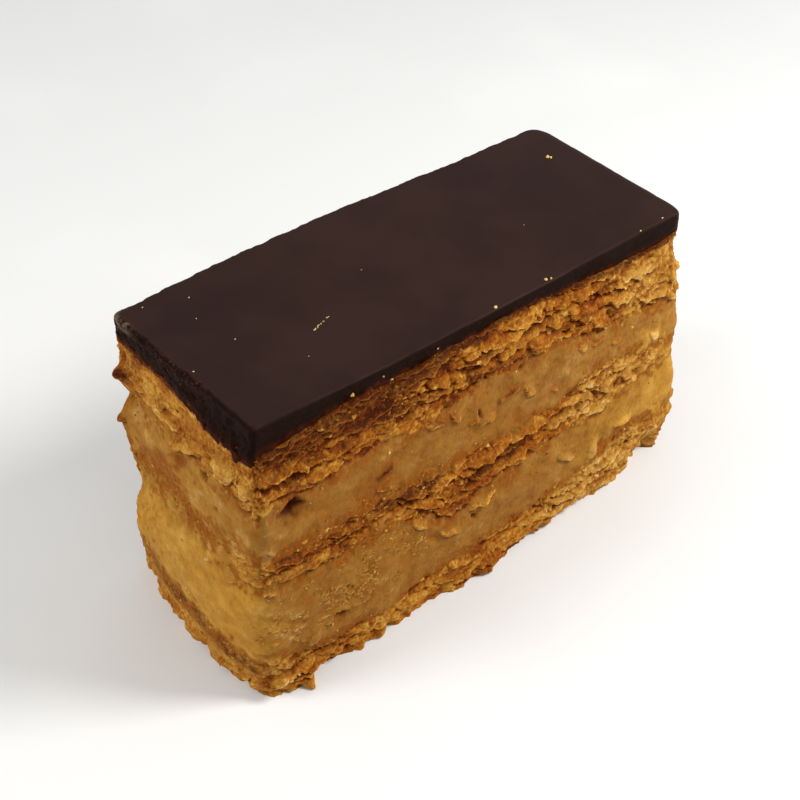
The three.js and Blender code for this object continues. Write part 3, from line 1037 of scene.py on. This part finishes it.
CLEAR = 12          # well outside the slice
END_MARGIN = 2      # of a side's ends, which are left to the sides that they meet


def surface_at(side, run, z):
    """Where a side is met from outside at this place, and its outward direction there."""
    inwards = Vector(INWARDS[side])
    x, y = outline_place(side, run)
    start = at(x - CLEAR * inwards.x, y - CLEAR * inwards.y, z)
    hits = [tree.ray_cast(start, inwards) for tree in TREES]
    hits = [hit for hit in hits if hit[0] is not None]
    if not hits:
        return None
    place, _, _, _ = min(hits, key=lambda hit: hit[3])
    return place, -inwards


def flake_mould(rng):
    """A thin broken chip of pastry, about 1 across, domed on top."""
    chip = bmesh.new()
    bmesh.ops.create_circle(chip, cap_ends=True, segments=7, radius=0.5)
    for vert in chip.verts:
        vert.co *= rng.uniform(0.45, 1.25)
    made = bmesh.ops.extrude_face_region(chip, geom=chip.faces[:])
    raised = [item for item in made["geom"] if isinstance(item, bmesh.types.BMVert)]
    bmesh.ops.translate(chip, verts=raised, vec=(0, 0, 0.16))
    top = max(chip.faces, key=lambda face: face.calc_center_median().z)
    centre = bmesh.ops.poke(chip, faces=[top])["verts"][0]
    centre.co.z += rng.uniform(-0.05, 0.12)
    bmesh.ops.recalc_face_normals(chip, faces=chip.faces)
    return chip


def crumb_mould(rng):
    """An uneven crumb, about 1 across."""
    crumb = bmesh.new()
    bmesh.ops.create_icosphere(crumb, subdivisions=1, radius=0.5)
    for vert in crumb.verts:
        vert.co *= rng.uniform(0.65, 1.2)
    return crumb


def add_copy(heap, mould, placing, tones):
    """Adds a placed copy of a mould to the heap, with its tones."""
    mesh = bpy.data.meshes.new("copy")
    mould.to_mesh(mesh)
    mesh.transform(placing)
    first = len(heap.verts)
    heap.from_mesh(mesh)
    bpy.data.meshes.remove(mesh)
    heap.verts.ensure_lookup_table()
    layers = [heap.verts.layers.float[tone] for tone in TONES]
    for vert in heap.verts[first:]:
        for layer, value in zip(layers, tones):
            vert[layer] = value


def new_heap():
    heap = bmesh.new()
    for tone in TONES:
        heap.verts.layers.float.new(tone)
    return heap


def random_place(rng):
    """A side picked by its length, and a run along it."""
    side = rng.choices(SIDES, (WIDTH, WIDTH, LENGTH, LENGTH))[0]
    reach = HALF[side] - END_MARGIN
    return side, rng.uniform(-reach, reach)


def placed(place, out, size, droop, yaw):
    """Lays a mould on a side: its own X along the side, tipped down outwards by droop."""
    facing = out.to_track_quat("Y", "Z").to_matrix().to_4x4()
    tip = Matrix.Rotation(-droop, 4, "X") @ Matrix.Rotation(yaw, 4, "Z")
    return Matrix.Translation(place) @ facing @ tip @ Matrix.Diagonal((*(Vector(size) * MM), 1))


# Crumbs on the icing's top, by x, y and size, and on its front, by run, z and size
ICING_CRUMBS = [
    (38.6, 8.4, 1.0), (39.0, 8.0, 0.6), (13.4, -17.0, 0.8), (14.3, -17.3, 0.5), (2.3, -17.3, 0.8),
    (40.3, -17.2, 0.4), (34.8, -17.4, 0.4), (-43.6, -1.5, 0.4), (-33.6, 13.9, 0.3),
    (-40.5, 16.4, 0.3),
    (-35.8, 8.8, 0.25), (-34.2, 1.0, 0.25), (-8.0, 3.0, 0.2), (21.0, -4.0, 0.2), (-28.0, -9.0, 0.2),
]
SIDE_CRUMBS = [
    (-26.8, 52.0, 0.9), (-28.6, 51.0, 0.6), (-20.8, 52.3, 0.4), (-19.2, 50.9, 0.5),
    (-10.0, 52.0, 0.35),
]
SCRATCH = (Vector((-23.4, -4.4)), Vector((-19.0, -3.0)))     # its two ends on the icing
SCRATCH_FLECKS = 16

FLAKE_COUNT = 500
FLAKE_MOULDS = 10
FLAKE_SHARES = (6, 6, 11)       # how the flakes are shared out over the pastry layers
FLAKE_SEED = 11
CRUMB_COUNT = 450
CRUMB_MOULDS = 8
CRUMB_SEED = 23

# An edge stays sharp where it turns by more degrees than this
LAYER_CREASE = 60
FLAKE_CREASE = 30
CRUMB_CREASE = 50

# Swarms of fine granules on the front: from where to where, mean height and spread, the biggest
# size, how many are tried, and their stain
SWARMS = [
    (-48, -14, 16.4, 3.4, 0.5, 620, 0.0),
    (-45, -6, 46.0, 2.4, 0.5, 200, 0.6),
    (-46, 0, 28.0, 2.0, 0.45, 200, 0.3),
]


def add_flakes(finish):
    """Thin chips that stand out of the pastry's cut leaves."""
    rng = random.Random(FLAKE_SEED)
    moulds = [flake_mould(rng) for _ in range(FLAKE_MOULDS)]
    heap = new_heap()
    count = 0
    while count < FLAKE_COUNT:
        side, run = random_place(rng)
        index = rng.choices(PASTRY, FLAKE_SHARES)[0]
        x, y = outline_place(side, run)
        low, high = layer_face(index - 1, x, y), layer_face(index, x, y)
        z = rng.uniform(low + 0.3, high - 0.4)
        hit = surface_at(side, run, z)
        if hit is None or (side == "left" and index != BOTTOM and rng.random() < 0.6):
            continue
        place, out = hit
        length = rng.uniform(0.6, 1.1) * (1.9 if rng.random() < 0.12 and x > -10 else 1.1)
        size = (length, length * rng.uniform(0.35, 0.7), rng.uniform(0.8, 1.5))
        droop = math.radians(rng.uniform(5, 55))
        placing = placed(place - out * 0.1 * MM, out, size, droop, rng.uniform(-0.6, 0.6))
        soaked = clamp(1.3 - (high - z) / 1.6) if index == TOP and x < 5 else 0.0
        pale = 0.8 if x > 15 else 0.2
        mould = rng.choice(moulds)
        # The second tone is a painted highlight on the chip
        add_copy(heap, mould, placing, (0, 0.5, soaked, 0, rng.random(), pale * rng.random()))
        count += 1
    stand(finish_piece("pastry_flakes", heap, FLAKE_CREASE), None, "pastry", finish)


def add_stuck_crumbs(heap, moulds, rng):
    """Crumbs on all the cut sides, near the edges of the layers."""
    for _ in range(CRUMB_COUNT):
        side, run = random_place(rng)
        x, y = outline_place(side, run)
        edge = rng.choice((BOTTOM, LOWER, MIDDLE, UPPER, UPPER))
        z = layer_face(edge, x, y) + rng.gauss(0, 1.8)
        hit = surface_at(side, run, max(0.6, min(z, layer_face(TOP, x, y) - 0.5)))
        if hit is None:
            continue
        place, out = hit
        size = rng.uniform(0.25, 0.6) * (1.8 if rng.random() < 0.08 else 1.0)
        shape = (size * rng.uniform(0.9, 1.6), size, size * rng.uniform(0.7, 1.0))
        sunk = place - out * 0.1 * size * MM
        placing = placed(sunk, out, shape, rng.uniform(-0.6, 0.6), rng.uniform(0, 6))
        mould = rng.choice(moulds)
        # The second tone is a painted highlight on the crumb
        add_copy(heap, mould, placing, (0, 0.6, 0, 0, rng.random(), 0.6 * rng.random()))


def add_swarms(heap, moulds, rng):
    """Fine granules on the front, in loose swarms."""
    for begin, end, middle, spread, biggest, number, stained in SWARMS:
        for _ in range(number):
            run, z = rng.uniform(begin, end), clamp(rng.gauss(middle, spread), 9, 49.5)
            hit = surface_at("front", run, z)
            if hit is None or not in_swarm(run, z):
                continue
            place, out = hit
            size = rng.uniform(0.2, biggest)
            shape = (size * rng.uniform(1.0, 2.6), size * 0.7, size * rng.uniform(0.6, 1.0))
            placing = placed(place, out, shape, rng.uniform(-0.6, 0.6), rng.uniform(-0.6, 0.6))
            # The second tone is a painted highlight on the granule
            tones = (0, 0.4, stained, 0, rng.uniform(0.4, 0.85) * (1 - 0.5 * stained), 0.2)
            add_copy(heap, rng.choice(moulds), placing, tones)


def add_icing_crumbs(heap, moulds, rng):
    """Crumbs on the icing, and flecks along its scratch."""
    flecks = list(ICING_CRUMBS)
    for _ in range(SCRATCH_FLECKS):
        x, y = SCRATCH[0].lerp(SCRATCH[1], rng.random())
        flecks.append((x, y + rng.gauss(0, 0.08), rng.uniform(0.15, 0.4)))
    for x, y, size in flecks:
        place, _, _, _ = ICING_TREE[0].ray_cast(at(x, y, 2 * HEIGHT), Vector((0, 0, -1)))
        shape = Vector((size * rng.uniform(1.0, 1.6), size * 0.8, size * 0.5)) * MM
        turn = Matrix.Rotation(rng.uniform(0.2, 0.8), 4, "Z")
        lifted = Matrix.Translation(place + Vector((0, 0, 0.2 * shape.z)))
        placing = lifted @ turn @ Matrix.Diagonal((*shape, 1))
        # The second tone is a painted highlight on the crumb
        add_copy(heap, rng.choice(moulds), placing, (0, 1, 0, 0, 0.9, 0.9))
    for run, z, size in SIDE_CRUMBS:
        place, _, _, _ = ICING_TREE[0].ray_cast(at(run, -2 * WIDTH, z), Vector((0, 1, 0)))
        shape = (1.3 * size, 0.8 * size, size)
        placing = placed(place, Vector((0, -1, 0)), shape, 0.3, rng.uniform(-0.6, 0.6))
        # The second tone is a painted highlight on the crumb
        add_copy(heap, rng.choice(moulds), placing, (0, 0.6, 0, 0, 0.7, 0.5))


def add_crumbs(finish):
    """Crumbs of pastry stuck to the cut sides and to the icing."""
    rng = random.Random(CRUMB_SEED)
    moulds = [crumb_mould(rng) for _ in range(CRUMB_MOULDS)]
    heap = new_heap()
    add_stuck_crumbs(heap, moulds, rng)
    add_swarms(heap, moulds, rng)
    add_icing_crumbs(heap, moulds, rng)
    stand(finish_piece("pastry_crumbs", heap, CRUMB_CREASE), None, "pastry", finish)


# ---------------------------------------------------------------- finishes

class Field:
    """A value that varies over a surface, as a shader socket with arithmetic."""

    def __init__(self, finish, socket):
        self.finish = finish
        self.socket = socket

    def _math(self, operation, *values):
        inputs = dict(enumerate(values))
        return self.finish.node("ShaderNodeMath", 0, {"operation": operation}, inputs)

    def __add__(self, other):
        return self._math("ADD", self, other)

    __radd__ = __add__

    def __mul__(self, other):
        return self._math("MULTIPLY", self, other)

    __rmul__ = __mul__

    def __sub__(self, other):
        return self._math("SUBTRACT", self, other)

    def __rsub__(self, other):
        return self._math("SUBTRACT", other, self)

    def clipped(self):
        return self._math("MINIMUM", self._math("MAXIMUM", self, 0.0), 1.0)

    def step(self, start, end):
        """0 below start and 1 above end, rising smoothly."""
        settings = {"interpolation_type": "SMOOTHSTEP"}
        inputs = {0: self, 1: start, 2: end, 3: 0.0, 4: 1.0}
        return self.finish.node("ShaderNodeMapRange", 0, settings, inputs)

    def colours(self, *stops):
        """A colour for each value, blended between the stops."""
        return self.finish.node("ShaderNodeValToRGB", "Color", {"stops": stops}, {"Fac": self})


class Finish:
    """A material under construction. Lengths of patterns are given in millimetres."""

    def __init__(self, name):
        self.material = bpy.data.materials.new(name)
        self.material.use_nodes = True
        self.tree = self.material.node_tree
        self.surface = next(n for n in self.tree.nodes if n.type == "BSDF_PRINCIPLED")
        self.place = self.node("ShaderNodeTexCoord", "Object")

    def node(self, kind, out, settings=None, inputs=None):
        """Adds a node with these settings and inputs, and gives the field at its output out."""
        made = self.tree.nodes.new(kind)
        for key, value in (settings or {}).items():
            if key == "stops":
                set_stops(made.color_ramp, value)
            else:
                setattr(made, key, value)
        for key, value in (inputs or {}).items():
            self.feed(made.inputs[key], value)
        return Field(self, made.outputs[out])

    def feed(self, socket, value):
        if isinstance(value, Field):
            self.tree.links.new(value.socket, socket)
        else:
            socket.default_value = value

    def noise(self, size, detail=2.0, roughness=0.5):
        """Noise of about -1 to 1, with bumps of this size."""
        inputs = {"Vector": self.place, "Scale": 1 / (size * MM)}
        inputs.update({"Detail": detail, "Roughness": roughness})
        return self.node("ShaderNodeTexNoise", "Fac", None, inputs) * 4 - 2

    def carried(self, *tones):
        """Values that the mesh carries at its vertices."""
        kind = "ShaderNodeAttribute"
        return [self.node(kind, "Fac", {"attribute_name": tone}) for tone in tones]

    def mix(self, share, a, b):
        settings = {"data_type": "RGBA", "blend_type": "MIX"}
        return self.node("ShaderNodeMix", 2, settings, {0: share, 6: a, 7: b})

    def bump(self, height, strength, distance):
        inputs = {"Height": height, "Strength": strength, "Distance": distance * MM}
        return self.node("ShaderNodeBump", "Normal", None, inputs)

    def set(self, **values):
        for key, value in values.items():
            self.feed(self.surface.inputs[key.replace("_", " ")], value)


def set_stops(ramp, stops):
    while len(ramp.elements) < len(stops):
        ramp.elements.new(1.0)
    for element, (position, colour) in zip(ramp.elements, stops):
        element.position = position
        element.color = colour


def srgb(red, green, blue):
    """A screen colour, 0 to 255, as the linear colour that shaders take."""
    def linear(value):
        value /= 255
        return value / 12.92 if value <= 0.04045 else ((value + 0.055) / 1.055) ** 2.4
    return (linear(red), linear(green), linear(blue), 1.0)


def baked_colour(finish, deep, rim, tint, pale):
    """Pastry: golden brown, with painted red-brown shade in its hollows, and tan on its dry broken
    lips with a painted highlight on them.
    """
    speck = finish.noise(0.45, 3.0, 0.6)
    patch = finish.noise(2.6, 3.0)
    # Painted highlight on the dry lips
    tip_highlight = rim * (speck.step(-0.4, 0.8) * 0.2 + 0.14 + pale * 0.2)
    fleck = finish.noise(0.6, 2.0)
    flecks = fleck.step(0.3, 0.8) * 0.14 - (-1 * fleck).step(0.3, 0.8) * 0.14
    # The shade tone darkens it: painted shade
    light = 0.06 + tint * 0.52 + tip_highlight + pale * 0.16 - deep * 0.5 + speck * 0.16 + patch * 0.16
    light = (light + flecks).clipped()
    baked = light.colours(
        (0.0, srgb(98, 36, 3)), (0.2, srgb(126, 62, 8)), (0.42, srgb(155, 92, 21)),
        (0.66, srgb(184, 132, 48)), (0.82, srgb(200, 154, 76)), (1.0, srgb(214, 178, 118)))
    dry = light.colours(
        (0.2, srgb(136, 82, 22)), (0.6, srgb(182, 134, 56)), (1.0, srgb(212, 176, 114)))
    return finish.mix(pale * 0.7, baked, dry)


def custard_colour(finish, tint, pale):
    """Cream: tan with greyer, browner and more golden smears."""
    speck = finish.noise(0.7, 4.0, 0.6)
    patch = finish.noise(2.4, 4.0, 0.6)
    hue = finish.noise(4.5, 2.0)
    warm = finish.noise(1.9, 4.0, 0.6)
    fine = finish.noise(0.25, 2.0)
    light = (tint * 0.62 + patch * 0.24 + speck * 0.14 + fine * 0.12 + pale * 0.1 - 0.08).clipped()
    grey = light.colours(
        (0.0, srgb(128, 78, 20)), (0.5, srgb(149, 104, 42)), (1.0, srgb(192, 154, 102)))
    golden = light.colours(
        (0.0, srgb(160, 106, 28)), (0.5, srgb(184, 136, 50)), (1.0, srgb(203, 160, 80)))
    colour = finish.mix((pale + hue * 0.25).clipped(), grey, golden)
    browned = warm.step(0.0, 0.7) * 0.45 * (1 - pale * 0.6).clipped()
    return finish.mix(browned, colour, srgb(154, 92, 22))


def cut_face_colour(finish):
    """Pastry and cream as they smear over each other at a cut."""
    deep, rim, stain, cream, tint, pale = finish.carried(*TONES)
    cover = (cream + finish.noise(0.9, 3.0) * 0.15).step(0.25, 0.85)
    baked = baked_colour(finish, deep, rim, tint, pale)
    # Rims lighten the cream: painted highlight
    custard = custard_colour(finish, tint + rim * 0.35, pale + rim * 0.5)
    blotch = (stain * (1.25 - tint * 0.4) + finish.noise(0.7, 4.0, 0.65) * 0.4).step(0.1, 1.1)
    # Rims, with lighter flecks, lift the stain's brown: painted highlight
    highlight_flecks = (rim * 0.9 + finish.noise(0.7, 3.0).step(0.25, 0.9) * 0.5).clipped()
    baked = finish.mix(blotch * 0.92, baked, finish.mix(highlight_flecks, srgb(60, 19, 2), srgb(152, 82, 20)))
    # Painted shade: dark red-brown where the shade tone is strong
    baked = finish.mix(deep.step(0.4, 1.0) * 0.8, baked, srgb(104, 40, 4))
    brown = finish.mix(highlight_flecks, srgb(134, 72, 12), srgb(180, 124, 44))
    custard = finish.mix(blotch * 0.9, custard, brown)
    # Painted shade in the cream's holes and under its cracks
    custard = finish.mix(deep.clipped(), custard, srgb(70, 24, 3))
    return finish.mix(cover, baked, custard)


GLOW = (1.0, 0.6, 0.35)     # how far red, green and blue light spread under a surface


def pastry_finish():
    finish = Finish("baked_puff_pastry")
    relief = finish.noise(0.4, 4.0, 0.6)
    finish.set(Base_Color=cut_face_colour(finish), Roughness=0.7)
    finish.set(Normal=finish.bump(relief, 0.6, 0.1))
    finish.set(Specular_IOR_Level=0.06, Subsurface_Weight=0.6)
    finish.set(Subsurface_Radius=GLOW, Subsurface_Scale=0.8 * MM)
    return finish.material


def cream_finish():
    finish = Finish("custard_cream")
    relief = finish.noise(0.6, 4.0, 0.6)
    shine = finish.carried("rim")[0]
    finish.set(Base_Color=cut_face_colour(finish), Roughness=0.55 - shine * 0.25)
    finish.set(Normal=finish.bump(relief, 0.5, 0.1), Specular_IOR_Level=0.05)
    finish.set(Coat_Weight=shine * 0.1, Coat_Roughness=0.25, Subsurface_Weight=0.5)
    finish.set(Subsurface_Radius=GLOW, Subsurface_Scale=1.0 * MM)
    return finish.material


def icing_finish():
    finish = Finish("dark_icing")
    side, rim, soaked, _, rough_end, scuff = finish.carried(*TONES)
    patch = finish.noise(16.0, 3.0)
    speck = finish.noise(0.4, 2.0)
    colour = finish.mix(patch.step(-0.6, 0.6), srgb(34, 15, 10), srgb(42, 22, 15))
    # Painted shade: the cut side is painted darker than the top
    shaded_cut_colour = finish.mix(speck.step(-0.5, 0.9), srgb(22, 10, 5), srgb(34, 16, 9))
    colour = finish.mix(side, colour, shaded_cut_colour)
    # Painted highlight along the upper front edge
    colour = finish.mix(rim * (patch * 0.4 + 0.5).clipped() * 0.6, colour, srgb(74, 50, 44))
    soaked = (soaked + rough_end * speck.step(0.0, 0.9) * 0.6).clipped()
    colour = finish.mix(soaked, colour, srgb(72, 27, 12))
    colour = finish.mix(rough_end * speck.step(0.5, 1.1) * 0.7, colour, srgb(100, 76, 62))
    colour = finish.mix((scuff * (speck * 0.3 + 0.8)).clipped(), colour, srgb(104, 88, 72))
    relief = finish.noise(0.5, 3.0)
    finish.set(Base_Color=colour, Roughness=0.5, Normal=finish.bump(relief, 0.12, 0.05))
    finish.set(Specular_IOR_Level=0.02, Coat_Weight=(1 - side) * 0.32, Coat_Roughness=0.4)
    return finish.material


def floor_finish():
    finish = Finish("pale_table")
    shade = finish.noise(60.0, 2.0)
    colour = finish.mix(shade, srgb(228, 228, 226), srgb(233, 233, 231))
    finish.set(Base_Color=colour, Roughness=0.8)
    return finish.material


# ---------------------------------------------------------------- building

ROWS_FROM = 3           # which of a layer's heights along the front sets its mesh rows


def wall_rows(index, step):
    """Mesh rows up the side of a layer, for steps of about this size."""
    under = LAYERS[index - 1].front[ROWS_FROM] if index > 0 else 0
    return round((LAYERS[index].front[ROWS_FROM] - under + 2 * OVERLAP) / step)


def add_layer(index, suffix, step, slot, finish):
    name = LAYERS[index].name
    body = ring_body(step, wall_rows(index, step), layer_place(index))
    TREES.append(BVHTree.FromBMesh(body))
    stand(finish_piece(name + suffix, body, LAYER_CREASE), name, slot, finish)


def add_slice():
    pastry = pastry_finish()
    cream = cream_finish()
    for index in PASTRY:
        add_layer(index, "_leaves", PASTRY_STEP, "pastry", pastry)
    for index in (LOWER, UPPER):
        add_layer(index, "_filling", CREAM_STEP, "cream", cream)
    slab = ring_body(ICING_STEP, ICING_ROWS, icing_place, ICING_RINGS)
    ICING_TREE.append(BVHTree.FromBMesh(slab))
    stand(finish_piece("icing_slab", slab), "icing", "icing", icing_finish())
    add_flakes(pastry)
    add_crumbs(pastry)


FLOOR_REACH = 3.0       # metres


def add_floor():
    sheet = bmesh.new()
    bmesh.ops.create_grid(sheet, x_segments=2, y_segments=2, size=FLOOR_REACH)
    floor = finish_piece("table_top", sheet)
    floor.data.materials.append(floor_finish())


def aim(holder, place, target, roll=0.0):
    """Stands a lamp or the camera at one place, looking at another."""
    turn = (target - place).to_track_quat("-Z", "Y").to_matrix().to_4x4()
    holder.matrix_world = Matrix.Translation(place) @ turn @ Matrix.Rotation(roll, 4, "Z")


# Name, place and target in metres, width and power of each lamp
LAMPS = [
    ("window_left", (-0.42, 0.16, 0.36), (0, 0, 0.03), 0.25, 1.5),
    ("lamp_right", (0.20, -0.20, 0.30), (0.02, 0, 0.03), 0.14, 1.45),
]


def add_lights():
    for name, place, target, size, power in LAMPS:
        lamp = bpy.data.lights.new(name, "AREA")
        lamp.shape = "DISK"
        lamp.size = size
        lamp.energy = power
        aim(linked(name, lamp), Vector(place), Vector(target))
    world = bpy.data.worlds.new("studio")
    world.use_nodes = True
    background = world.node_tree.nodes["Background"]
    background.inputs["Color"].default_value = (1, 1, 1, 1)
    background.inputs["Strength"].default_value = 0.5
    bpy.context.scene.world = world
    bpy.context.scene.view_settings.view_transform = "Standard"


# Camera, from the middle of the icing slab: where it stands, where it looks, and its roll
CAMERA_PLACE = (-145.05, -167.50, 213.44)
CAMERA_TARGET = (-2.45, 0.16, 26.01)
CAMERA_ROLL = -0.21
CAMERA_FIELD = 26.52    # degrees across the square picture


def add_camera():
    camera = bpy.data.cameras.new("camera")
    camera.sensor_width = 36.0
    camera.lens = camera.sensor_width / 2 / math.tan(math.radians(CAMERA_FIELD / 2))
    camera.clip_start = 0.01
    holder = linked("camera", camera)
    aim(holder, at(*CAMERA_PLACE), at(*CAMERA_TARGET), math.radians(CAMERA_ROLL))
    bpy.context.scene.camera = holder


add_camera()
add_floor()
add_lights()
add_slice()
